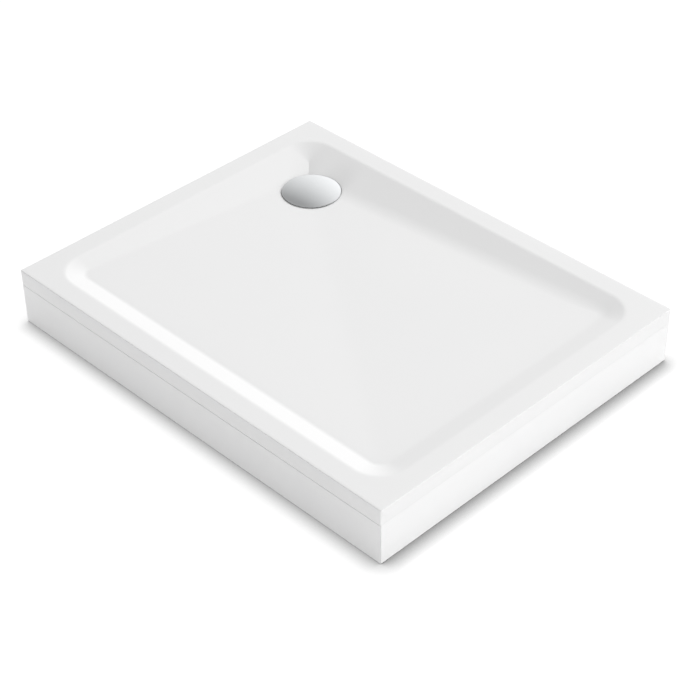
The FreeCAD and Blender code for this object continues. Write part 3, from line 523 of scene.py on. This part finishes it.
FINISHES = {
    "white_gloss": sanitary_gloss(
        "white_acrylic", (0.884, 0.884, 0.884), (0.877, 0.877, 0.878), 0.16
    ),
    "white_panel": sanitary_gloss(
        "white_panel_board", (0.906, 0.906, 0.907), (0.898, 0.898, 0.900), 0.20
    ),
    "cast_core": cast_resin("mineral_resin"),
    "white_clip": moulded_plastic("white_moulding", (0.82, 0.82, 0.81), (0.77, 0.77, 0.755), 0.38),
    "white_fitting": moulded_plastic(
        "white_pipe_fitting", (0.84, 0.84, 0.82), (0.79, 0.79, 0.765), 0.30
    ),
    "black_plastic": moulded_plastic(
        "black_moulding", (0.042, 0.043, 0.046), (0.026, 0.026, 0.028), 0.42
    ),
    "grey_plastic": moulded_plastic("grey_moulding", (0.46, 0.47, 0.48), (0.40, 0.41, 0.42), 0.36),
    "black_rubber": rubber("black_rubber_seal"),
    "zinc_steel": plated_steel("zinc_plating", (0.72, 0.73, 0.74), (0.58, 0.60, 0.63), 0.24),
    "stainless_steel": plated_steel(
        "stainless_screw", (0.74, 0.73, 0.72), (0.62, 0.61, 0.60), 0.20
    ),
    "chrome": polished_chrome("polished_chrome"),
}


def dress(piece, body, slot_name, *nodes):
    """Gives a new piece its finish, its body and the CAD nodes that it stands for."""
    piece.data.materials.append(FINISHES[slot_name])
    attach(piece, body)
    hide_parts(*nodes)


for subpart in frame["record"]["subparts"]:
    frame["nodes"][subpart["node"]].material_slots[0].material = FINISHES[subpart["material_slot"]]

dress(tray_skin(), "root", "white_gloss", "tray_cap")
dress(cover_shell(), "cover", "chrome", "cover_dome")
for node in list(frame["nodes"]):
    if node.startswith("leg_stud_"):
        leg = node.removeprefix("leg_stud_")
        stud_low, stud_high = (np.array(corner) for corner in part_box(node))
        stud = threaded_stud("thread_" + leg, stud_low, stud_high)
        dress(stud, "stud_" + leg, "zinc_steel", node)


# ---- floor, light and camera ----
FLOOR_REACH = 9.0
CONTACT_REACH = 0.040
CONTACT_SAMPLES = 12
SHADOW_LEAN = {"X": -0.22, "Y": -0.06, "Z": 1.0}   # leans the painted contact shadow: darker on the +X side, paler on the -Y side
GLOW_GAIN = 1.42                 # the floor's lift is gain * openness - drop
GLOW_DROP = 0.31
GLOW_SHARE = 0.85                # of the lift in the floor that is seen; the rest is diffuse
DIM_SIDE = 0.40
BRIGHT_SIDE = 1.28
WINDOW_EDGE = (0.35, 0.80)       # Y of the directions where the surroundings turn bright
HORIZON_BAND = (0.02, 0.14)      # Z of the directions where a mirrored white gives way to them
FRAME_PIXELS = 700
FOCAL_PIXELS = 1881.524
SENSOR_WIDTH = 36.0
CAMERA_AZIMUTH = 0.791751
CAMERA_ELEVATION = 0.663421
CAMERA_ROLL = -0.009865
CAMERA_SPOT = (2.126838, -2.075826, 2.297688)


def seen_directly(finish, in_mirrors=1.0):
    """1 where the camera looks at the backdrop, in_mirrors where a glossy or clear surface shows
    it, and 0 where it only lights things."""
    camera = finish.node("ShaderNodeLightPath", output="Is Camera Ray")
    glossy = finish.node("ShaderNodeLightPath", output="Is Glossy Ray")
    through = finish.node("ShaderNodeLightPath", output="Is Transmission Ray")
    return camera + in_mirrors * glossy.maths("MAXIMUM", glossy, through)


def pale_floor():
    """Plain floor: a pale diffuse surface, lifted to the backdrop's white where it is seen directly
    or in a mirror. The lift fades within a few centimetres of the object, where ambient occlusion
    finds it near: a painted contact shadow, which draws most of the object's shadow on the floor."""
    signs = ((-1, -1), (1, -1), (1, 1), (-1, 1))
    corners = [(FLOOR_REACH * x, FLOOR_REACH * y, 0) for x, y in signs]
    mesh = bpy.data.meshes.new("studio_floor")
    mesh.from_pydata(corners, [], [(0, 1, 2, 3)])
    floor = bpy.data.objects.new("studio_floor", mesh)
    bpy.context.scene.collection.objects.link(floor)
    finish = new_finish("studio_floor", Base_Color=(0.9, 0.9, 0.9, 1), Roughness=0.9)
    lean = finish.node("ShaderNodeCombineXYZ", None, SHADOW_LEAN)
    samples, reach = {"samples": CONTACT_SAMPLES}, {"Distance": CONTACT_REACH, "Normal": lean}
    # painted contact shadow: ambient occlusion dims the floor's lift near the object
    openness = finish.node("ShaderNodeAmbientOcclusion", samples, reach, output="AO")
    lift = GLOW_GAIN * openness - GLOW_DROP
    glow = finish.node("ShaderNodeEmission", None, {"Color": (1, 1, 1, 1), "Strength": lift})
    diffuse = Value(finish, finish.shader.outputs[0])
    share = GLOW_SHARE * seen_directly(finish)
    blend = finish.node("ShaderNodeMixShader", None, {0: share, 1: diffuse, 2: glow})
    finish.feed(finish.tree.nodes["Material Output"].inputs["Surface"], blend)
    mesh.materials.append(finish.owner)


def studio_world():
    """Surroundings dim towards -Y and bright towards +Y, as from a large window behind the tray.
    The camera sees them plain white, and near the horizon a glossy surface mirrors them so too."""
    world = bpy.data.worlds.new("studio")
    bpy.context.scene.world = world
    finish = Finish(world)
    direction = finish.node("ShaderNodeTexCoord", output="Generated")
    towards_back = finish.node("ShaderNodeSeparateXYZ", None, {0: direction}, output="Y")
    upwards = finish.node("ShaderNodeSeparateXYZ", None, {0: direction}, output="Z")
    window = finish.between(towards_back, *WINDOW_EDGE)
    white = seen_directly(finish, 1 - finish.between(upwards, *HORIZON_BAND))
    around = DIM_SIDE + (BRIGHT_SIDE - DIM_SIDE) * window
    background = finish.tree.nodes["Background"]
    finish.feed(background.inputs["Color"], (1, 1, 1, 1))
    finish.feed(background.inputs["Strength"], around + white * (1 - around))


def soft_lamp(name, spot, target, size, watts):
    """Rectangular softbox that faces its target. Gloss doesn't mirror it, so that no side of the
    tray washes out at a low angle of view."""
    data = bpy.data.lights.new(name, "AREA")
    data.shape = "RECTANGLE"
    data.size, data.size_y = size
    data.energy = watts
    lamp = bpy.data.objects.new(name, data)
    bpy.context.scene.collection.objects.link(lamp)
    back = np.array(spot, float) - np.array(target, float)
    lamp.matrix_world = standing_at(spot, back)
    lamp.visible_glossy = False


def standing_at(spot, back, roll=0.0):
    """Matrix of a camera or lamp at a spot, looking against the back vector."""
    back = back / np.linalg.norm(back)
    side = np.cross([0, 0, 1], back)
    side /= np.linalg.norm(side)
    up = np.cross(back, side)
    turned_side = math.cos(roll) * side + math.sin(roll) * up
    turned_up = -math.sin(roll) * side + math.cos(roll) * up
    matrix = np.eye(4)
    matrix[:3, 0], matrix[:3, 1], matrix[:3, 2], matrix[:3, 3] = turned_side, turned_up, back, spot
    return Matrix(matrix.tolist())


def photograph_camera():
    """Camera at the photograph's spot and angle. The azimuth is counted from -Y towards +X."""
    data = bpy.data.cameras.new("camera")
    data.sensor_width = SENSOR_WIDTH
    data.lens = SENSOR_WIDTH * FOCAL_PIXELS / FRAME_PIXELS
    camera = bpy.data.objects.new("camera", data)
    bpy.context.scene.collection.objects.link(camera)
    back = np.array(
        [
            math.sin(CAMERA_AZIMUTH) * math.cos(CAMERA_ELEVATION),
            -math.cos(CAMERA_AZIMUTH) * math.cos(CAMERA_ELEVATION),
            math.sin(CAMERA_ELEVATION),
        ]
    )
    camera.matrix_world = standing_at(CAMERA_SPOT, back, CAMERA_ROLL)
    bpy.context.scene.camera = camera


pale_floor()
studio_world()
soft_lamp("back_softbox", (-2.0, 32.5, 19.0), (0, 0, 0.1), (25.0, 15.0), 9950)
soft_lamp("right_softbox", (14.0, -0.6, 4.2), (0, 0, 0.05), (9.0, 6.0), 620)
soft_lamp("front_softbox", (-0.6, -13.6, 1.8), (0, 0, 0.05), (10.0, 2.6), 350)
photograph_camera()
bpy.context.scene.view_settings.view_transform = "Standard"
